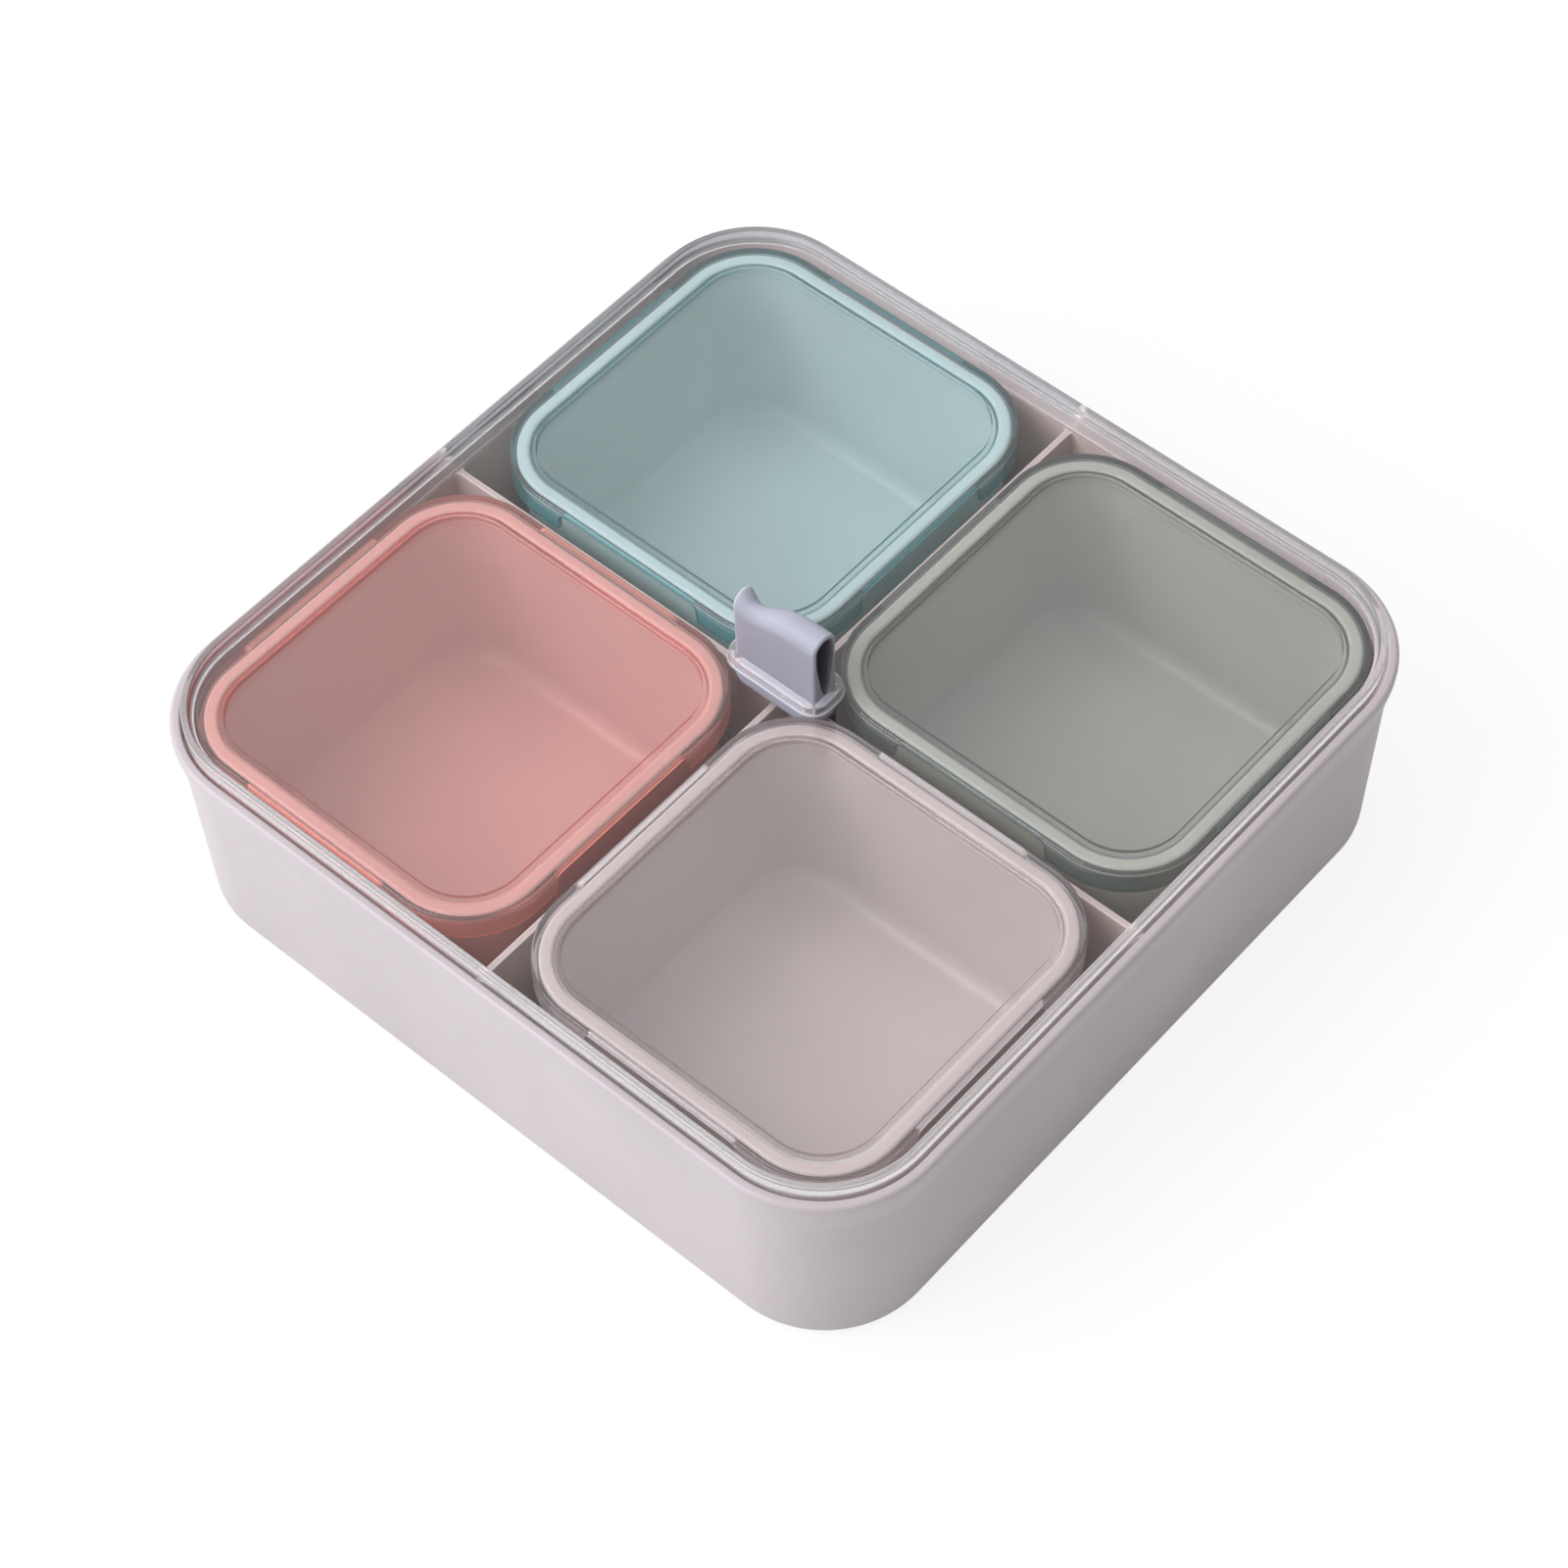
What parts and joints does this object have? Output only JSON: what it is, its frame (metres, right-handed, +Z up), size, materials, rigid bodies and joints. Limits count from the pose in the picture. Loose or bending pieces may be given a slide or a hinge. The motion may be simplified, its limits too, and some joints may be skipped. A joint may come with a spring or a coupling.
{
  "type": "divided serving tray",
  "caption": "Square serving tray with a cross of dividers, a loose lidded box in each compartment, and a clear lift-off lid with a soft pull loop.",
  "frame": {"origin": "under the middle of the tray, on the surface it stands on", "axes": "+Z up, +X along the pull loop's width, +Y across it; the dividers run along X and Y"},
  "size_m": [0.25, 0.25, 0.0967],
  "materials": {
    "tray_plastic": "pale mauve-grey moulded plastic, fine satin",
    "clear_plastic": "clear colourless plastic, polished",
    "strap_rubber": "soft lavender-grey silicone, matte",
    "blue_plastic": "blue moulded plastic, satin",
    "pink_plastic": "pink moulded plastic, satin",
    "green_plastic": "green moulded plastic, satin",
    "beige_plastic": "beige moulded plastic, satin"
  },
  "bodies": {
    "tray": {"tray": "tray_plastic"},
    "lid": {"main_lid": "clear_plastic", "pull_strap": "strap_rubber"},
    "blue_box": {"blue_box": "blue_plastic"},
    "blue_box_lid": {"blue_box_lid": "clear_plastic"},
    "pink_box": {"pink_box": "pink_plastic"},
    "pink_box_lid": {"pink_box_lid": "clear_plastic"},
    "green_box": {"green_box": "green_plastic"},
    "green_box_lid": {"green_box_lid": "clear_plastic"},
    "beige_box": {"beige_box": "beige_plastic"},
    "beige_box_lid": {"beige_box_lid": "clear_plastic"}
  },
  "joints": [
    {"name": "lid_lift", "type": "slide", "parent": "tray", "child": "lid", "axis": [0, 0, 1], "range_m": [0, 0.2]},
    {"name": "blue_box_lift", "type": "slide", "parent": "tray", "child": "blue_box", "axis": [0, 0, 1], "range_m": [0, 0.1]},
    {"name": "blue_box_lid_lift", "type": "slide", "parent": "blue_box", "child": "blue_box_lid", "axis": [0, 0, 1], "range_m": [0, 0.05]},
    {"name": "pink_box_lift", "type": "slide", "parent": "tray", "child": "pink_box", "axis": [0, 0, 1], "range_m": [0, 0.1]},
    {"name": "pink_box_lid_lift", "type": "slide", "parent": "pink_box", "child": "pink_box_lid", "axis": [0, 0, 1], "range_m": [0, 0.05]},
    {"name": "green_box_lift", "type": "slide", "parent": "tray", "child": "green_box", "axis": [0, 0, 1], "range_m": [0, 0.1]},
    {"name": "green_box_lid_lift", "type": "slide", "parent": "green_box", "child": "green_box_lid", "axis": [0, 0, 1], "range_m": [0, 0.05]},
    {"name": "beige_box_lift", "type": "slide", "parent": "tray", "child": "beige_box", "axis": [0, 0, 1], "range_m": [0, 0.1]},
    {"name": "beige_box_lid_lift", "type": "slide", "parent": "beige_box", "child": "beige_box_lid", "axis": [0, 0, 1], "range_m": [0, 0.05]}
  ],
  "couplings": [
    {"joint": "blue_box_lift", "follows": "lid_lift", "ratio": 0.5},
    {"joint": "blue_box_lid_lift", "follows": "lid_lift", "ratio": 0.25},
    {"joint": "pink_box_lift", "follows": "lid_lift", "ratio": 0.5},
    {"joint": "pink_box_lid_lift", "follows": "lid_lift", "ratio": 0.25},
    {"joint": "green_box_lift", "follows": "lid_lift", "ratio": 0.5},
    {"joint": "green_box_lid_lift", "follows": "lid_lift", "ratio": 0.25},
    {"joint": "beige_box_lift", "follows": "lid_lift", "ratio": 0.5},
    {"joint": "beige_box_lid_lift", "follows": "lid_lift", "ratio": 0.25}
  ]
}
